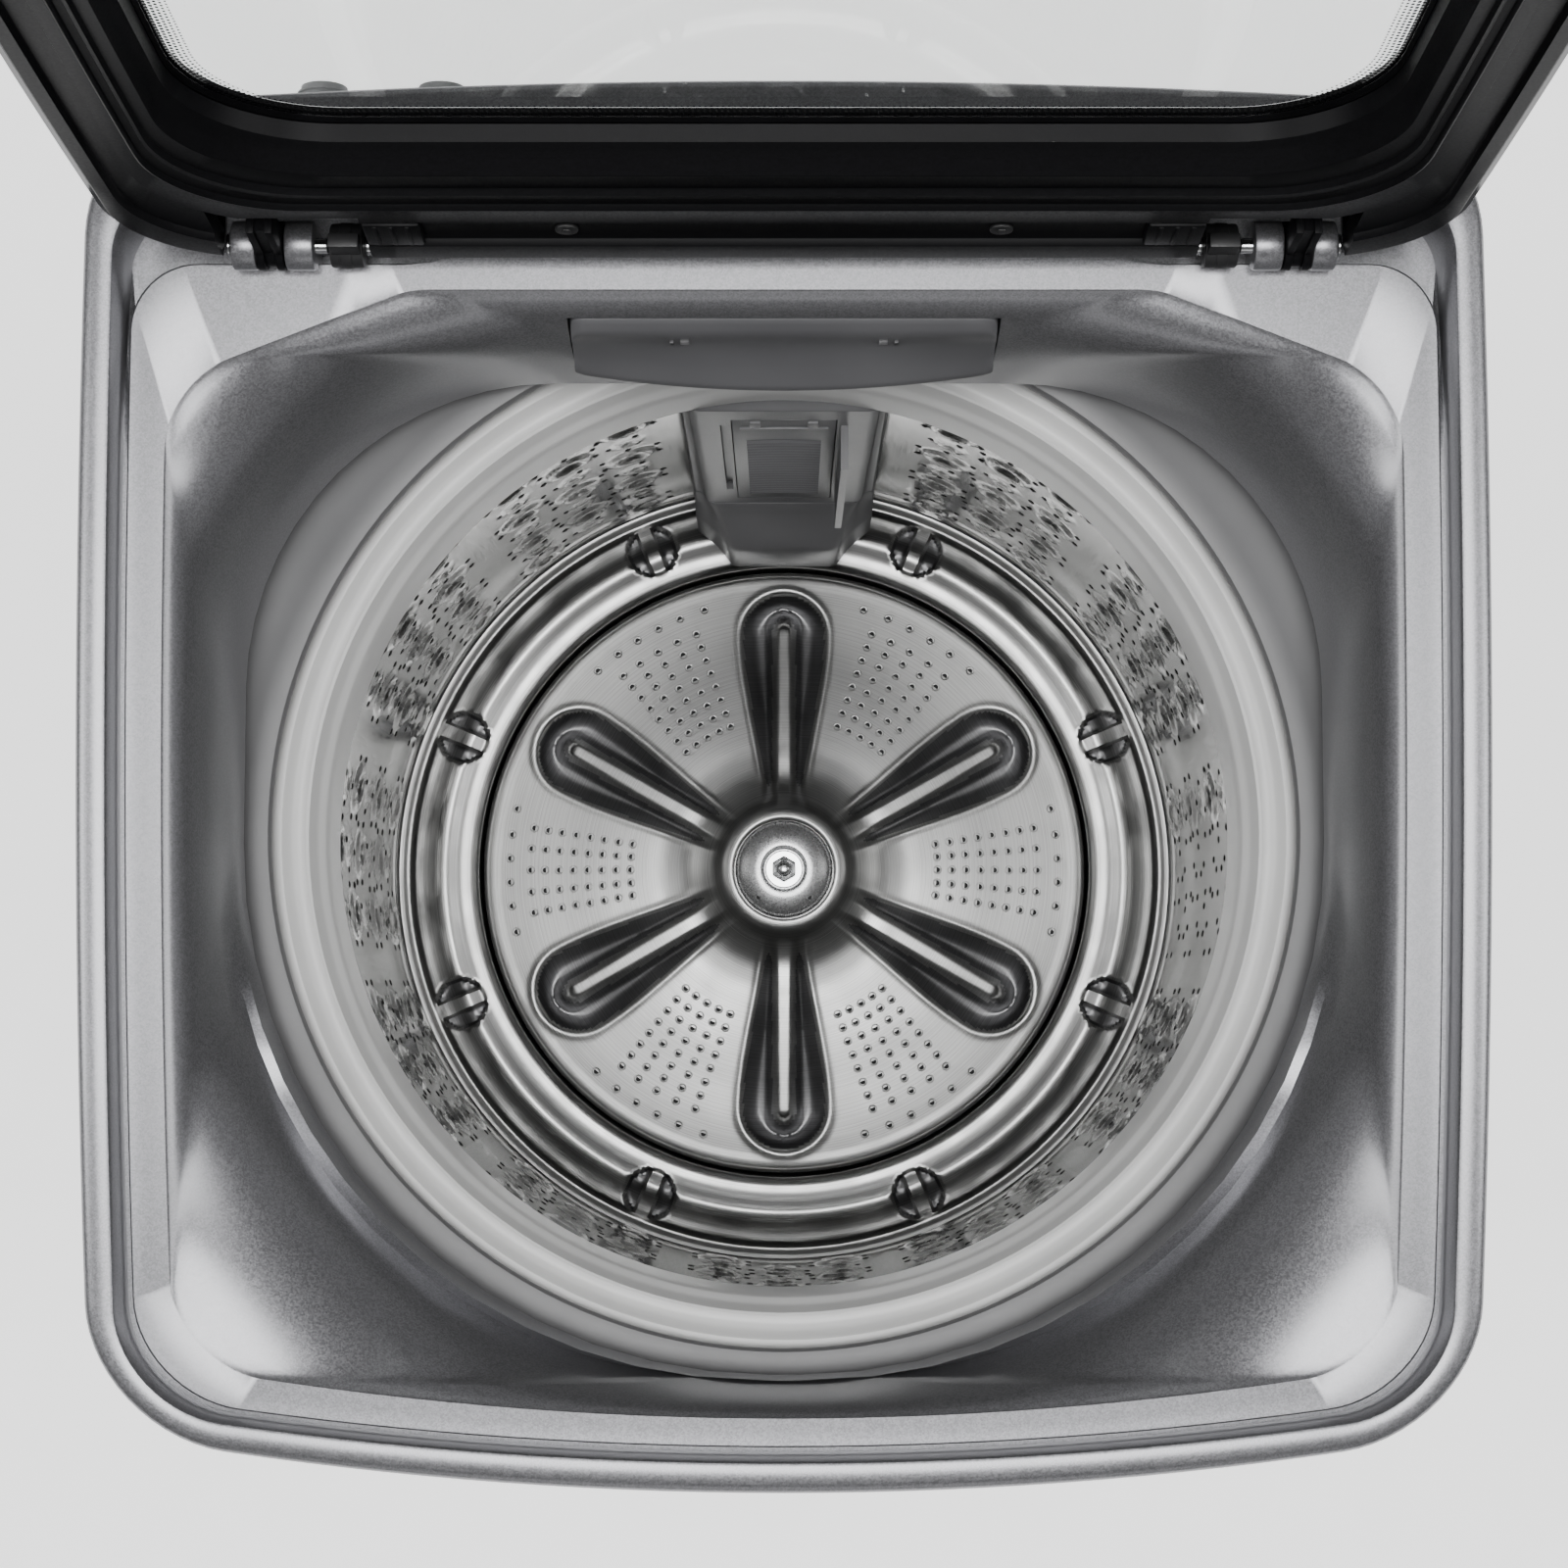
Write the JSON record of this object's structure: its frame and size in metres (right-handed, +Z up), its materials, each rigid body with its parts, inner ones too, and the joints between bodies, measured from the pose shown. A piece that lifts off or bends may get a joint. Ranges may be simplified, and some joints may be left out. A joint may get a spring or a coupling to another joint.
{
  "type": "top load washing machine",
  "caption": "Top-loading washing machine with its glazed lid open, stainless drum with wash plate and lint filter, hung tub, direct drive and detergent drawer.",
  "frame": {"origin": "middle of the whole machine's box, on the floor, with the lid open", "axes": "+Z up, front towards -Y, +X to the right of someone who faces the front's rear, that is looking along +Y"},
  "size_m": [0.632, 0.647, 1.5388],
  "materials": {
    "cover_paint": "moulded plastic with silver-grey metallic paint, satin",
    "cabinet_paint": "sheet steel with silver-grey metallic paint, satin",
    "zinc_steel": "zinc-coated sheet, dull with a faint spangle",
    "base_plastic": "moulded black plastic, matt",
    "rubber": "black rubber, matt",
    "housing_grey": "moulded light grey plastic, satin",
    "drawer_grey": "moulded dark grey plastic, satin",
    "lid_black": "moulded black plastic, high gloss",
    "lid_glass": "clear tempered glass with a dotted black border",
    "drum_steel": "stainless sheet, bright rolled, embossed and perforated",
    "plate_steel": "stainless sheet, fine brushed round the axis",
    "balance_plastic": "moulded light grey plastic, satin",
    "column_grey": "moulded grey plastic, satin",
    "hub_grey": "moulded grey plastic, polished",
    "tub_plastic": "moulded off-white plastic",
    "cast_aluminium": "die cast, as cast",
    "bright_steel": "ground and plated steel, bright",
    "spring_steel": "oil-hardened spring wire",
    "winding": null,
    "button_grey": "moulded plastic with silver paint",
    "display_black": "smoked acrylic, polished"
  },
  "bodies": {
    "casing": {"cabinet_wrapper": "cabinet_paint", "rear_panel": "zinc_steel", "base_frame": "base_plastic", "top_cover": "cover_paint", "dispenser_housing": "housing_grey", "cold_inlet_valve": "housing_grey", "hot_inlet_valve": "housing_grey", "electronics_box": "housing_grey", "lid_lock": "base_plastic", "rear_foot_left": "rubber", "rear_foot_right": "rubber", "suspension_rod_front_left": "zinc_steel", "suspension_rod_front_right": "zinc_steel", "suspension_rod_rear_left": "zinc_steel", "suspension_rod_rear_right": "zinc_steel", "suspension_spring_front_left": "spring_steel", "suspension_spring_front_right": "spring_steel", "suspension_spring_rear_left": "spring_steel", "suspension_spring_rear_right": "spring_steel"},
    "front_foot_left": {"front_foot_left": "rubber"},
    "front_foot_right": {"front_foot_right": "rubber"},
    "tub": {"outer_tub": "tub_plastic", "tub_cover": "tub_plastic", "bearing_housing": "cast_aluminium", "upper_bearing": "bright_steel", "lower_bearing": "bright_steel", "water_seal": "rubber", "motor_stator": "winding", "clutch_motor": "base_plastic", "drain_pump": "housing_grey"},
    "clutch": {"clutch_sleeve": "bright_steel"},
    "impeller": {"pump_impeller": "base_plastic"},
    "drum": {"drum_shell": "drum_steel", "drum_base": "plate_steel", "balance_ring": "balance_plastic", "hub_flange": "cast_aluminium", "spin_tube": "bright_steel", "filter_column": "column_grey"},
    "filter": {"filter_cover": "column_grey"},
    "agitator": {"wash_plate": "plate_steel", "wash_plate_cap": "hub_grey", "wash_plate_bolt": "bright_steel", "drive_shaft": "bright_steel", "motor_rotor": "zinc_steel"},
    "drawer": {"drawer_front": "drawer_grey", "drawer_tray": "housing_grey"},
    "lid": {"lid_frame": "lid_black", "lid_inner_frame": "lid_black", "lid_glass": "lid_glass", "hinge_pin_left": "bright_steel", "hinge_pin_right": "bright_steel", "lid_damper_left": "base_plastic", "lid_damper_right": "base_plastic", "control_panel": "display_black", "display_window": "display_black"},
    "power_button": {"power_button": "button_grey"},
    "program_button": {"program_button": "button_grey"},
    "level_button": {"level_button": "button_grey"},
    "start_button": {"start_button": "button_grey"}
  },
  "joints": [
    {"name": "tub_bounce", "type": "slide", "parent": "casing", "child": "tub", "axis": [0, 0, 1], "range_m": [-0.015, 0.006], "stiffness_N_per_m": 12000, "springref_m": 0.04176, "deforming": ["suspension_spring_front_left", "suspension_spring_front_right", "suspension_spring_rear_left", "suspension_spring_rear_right"]},
    {"name": "drum_spin", "type": "hinge", "parent": "tub", "child": "drum", "pos_m": [0, -0.0211, 0.3672], "axis": [0, 0, 1], "continuous": true},
    {"name": "wash_plate_spin", "type": "hinge", "parent": "drum", "child": "agitator", "pos_m": [0, -0.0211, 0.4], "axis": [0, 0, 1], "continuous": true},
    {"name": "clutch_slide", "type": "slide", "parent": "tub", "child": "clutch", "axis": [0, 0, -1], "range_m": [0, 0.006], "stiffness_N_per_m": 400, "springref_m": -0.007},
    {"name": "pump_spin", "type": "hinge", "parent": "tub", "child": "impeller", "pos_m": [-0.15, -0.1411, 0.29], "axis": [0, 0, 1], "continuous": true},
    {"name": "filter_hinge", "type": "hinge", "parent": "drum", "child": "filter", "pos_m": [0, 0.2039, 0.534], "axis": [1, 0, 0], "range_deg": [0, 25]},
    {"name": "drawer_slide", "type": "slide", "parent": "casing", "child": "drawer", "axis": [0, -1, 0], "range_m": [0, 0.08]},
    {"name": "lid_hinge", "type": "hinge", "parent": "casing", "child": "lid", "pos_m": [0, 0.2335, 1.00277], "axis": [1, 0, 0], "range_deg": [0, 100.5]},
    {"name": "front_foot_left_screw", "type": "slide", "parent": "casing", "child": "front_foot_left", "axis": [0, 0, -1], "range_m": [0, 0.012]},
    {"name": "front_foot_right_screw", "type": "slide", "parent": "casing", "child": "front_foot_right", "axis": [0, 0, -1], "range_m": [0, 0.012]},
    {"name": "power_button_press", "type": "slide", "parent": "lid", "child": "power_button", "axis": [0, -0.9936, 0.1132], "range_m": [0, 0.001], "stiffness_N_per_m": 600, "springref_m": -0.0005},
    {"name": "program_button_press", "type": "slide", "parent": "lid", "child": "program_button", "axis": [0, -0.9936, 0.1132], "range_m": [0, 0.001], "stiffness_N_per_m": 600, "springref_m": -0.0005},
    {"name": "level_button_press", "type": "slide", "parent": "lid", "child": "level_button", "axis": [0, -0.9936, 0.1132], "range_m": [0, 0.001], "stiffness_N_per_m": 600, "springref_m": -0.0005},
    {"name": "start_button_press", "type": "slide", "parent": "lid", "child": "start_button", "axis": [0, -0.9936, 0.1132], "range_m": [0, 0.001], "stiffness_N_per_m": 600, "springref_m": -0.0005}
  ]
}
